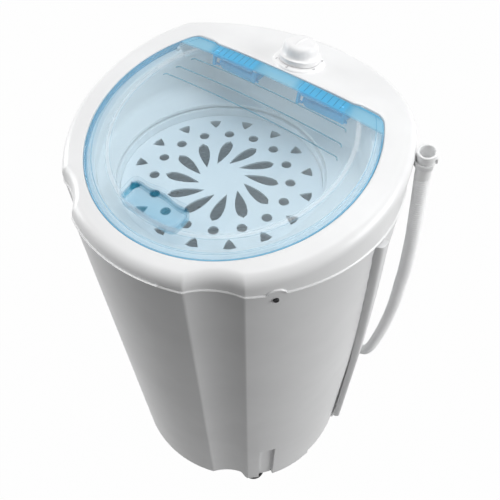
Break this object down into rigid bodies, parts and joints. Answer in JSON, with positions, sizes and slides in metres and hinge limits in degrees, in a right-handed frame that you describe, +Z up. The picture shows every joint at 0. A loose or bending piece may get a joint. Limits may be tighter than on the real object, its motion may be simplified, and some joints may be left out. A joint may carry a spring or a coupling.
{
  "type": "spin dryer",
  "caption": "A free-standing laundry spin dryer with a tapered white cabinet, a see-through blue lid over its basket, a timer knob behind the lid and a ribbed drain hose clipped up at its side.",
  "frame": {"origin": "on the floor, under the middle of the round cabinet", "axes": "+Z up, the front with the lid's finger pocket faces -Y, +X to the viewer's right"},
  "size_m": [0.4465, 0.4239, 0.7501],
  "materials": {
    "shell_plastic": "moulded",
    "cover_plastic": "moulded",
    "lid_plastic": "see-through tinted",
    "blue_plastic": "moulded",
    "stainless": "rolled sheet",
    "steel": "turned",
    "zinc_plate": "plated sheet",
    "motor_steel": "painted",
    "motor_aluminium": "cast",
    "tub_plastic": "moulded",
    "hose_plastic": "ribbed",
    "rubber": "moulded",
    "black_plastic": "moulded",
    "black_screw": "blackened"
  },
  "bodies": {
    "root": {"cabinet": "shell_plastic", "rear_cover": "shell_plastic", "top_cover": "cover_plastic", "hinge_pin_left": "steel", "hinge_pin_right": "steel", "hinge_bracket_left": "blue_plastic", "hinge_bracket_right": "blue_plastic", "outer_tub": "tub_plastic", "shaft_seal": "rubber", "motor_case": "motor_steel", "motor_top_bracket": "motor_aluminium", "motor_bottom_bracket": "motor_aluminium", "bearing_upper": "steel", "bearing_lower": "steel", "motor_plate": "zinc_plate", "motor_spring_1": "steel", "motor_spring_2": "steel", "motor_spring_3": "steel", "spring_bushes": "rubber", "base_plate": "zinc_plate", "foot_front_left": "rubber", "foot_front_right": "rubber", "foot_rear_left": "rubber", "foot_rear_right": "rubber", "brake_pivot": "steel", "brake_cable": "black_plastic", "timer_body": "tub_plastic", "dial_ring": "cover_plastic", "lid_switch": "black_plastic", "capacitor": "motor_aluminium", "capacitor_strap": "zinc_plate", "cord_gland": "black_plastic", "drain_outlet": "hose_plastic", "drain_hose": "hose_plastic", "hose_cuff": "hose_plastic", "hose_clip": "cover_plastic", "cover_screws": "black_screw", "rear_cover_screws": "steel", "bracket_screws": "steel", "base_screws": "steel"},
    "lid": {"lid": "lid_plastic", "lid_grip": "lid_plastic"},
    "drum": {"basket_wall": "stainless", "basket_base": "cover_plastic", "basket_rim": "cover_plastic", "basket_nut": "steel", "drive_shaft": "steel", "motor_rotor": "motor_steel", "brake_drum": "motor_aluminium"},
    "inner_cover": {"inner_cover": "cover_plastic"},
    "knob": {"timer_knob": "cover_plastic", "timer_shaft": "steel"},
    "plunger": {"switch_plunger": "cover_plastic"},
    "brake": {"brake_lever": "zinc_plate", "brake_shoe": "rubber"}
  },
  "joints": [
    {"name": "lid_hinge", "type": "hinge", "parent": "root", "child": "lid", "pos_m": [0, 0.084, 0.71772], "axis": [-1, 0, 0], "range_deg": [0, 105]},
    {"name": "drum_spin", "type": "hinge", "parent": "root", "child": "drum", "pos_m": [0, -0.028, 0.4], "axis": [0, 0, 1], "continuous": true},
    {"name": "inner_cover_lift", "type": "slide", "parent": "drum", "child": "inner_cover", "axis": [0, 0, 1], "range_m": [0, 0.018]},
    {"name": "knob_turn", "type": "hinge", "parent": "root", "child": "knob", "pos_m": [0, 0.131, 0.72052], "axis": [0, 0.1582, 0.9874], "range_deg": [0, 300]},
    {"name": "switch_slide", "type": "slide", "parent": "root", "child": "plunger", "axis": [0, 0, 1], "range_m": [0, 0.0042]},
    {"name": "brake_swing", "type": "hinge", "parent": "root", "child": "brake", "pos_m": [0.054, 0.016, 0.184], "axis": [0, 0, -1], "range_deg": [0, 1.3]}
  ],
  "couplings": [
    {"joint": "switch_slide", "follows": "lid_hinge", "m_per_rad": 0.002183},
    {"joint": "brake_swing", "follows": "lid_hinge", "ratio": 0.0114}
  ]
}
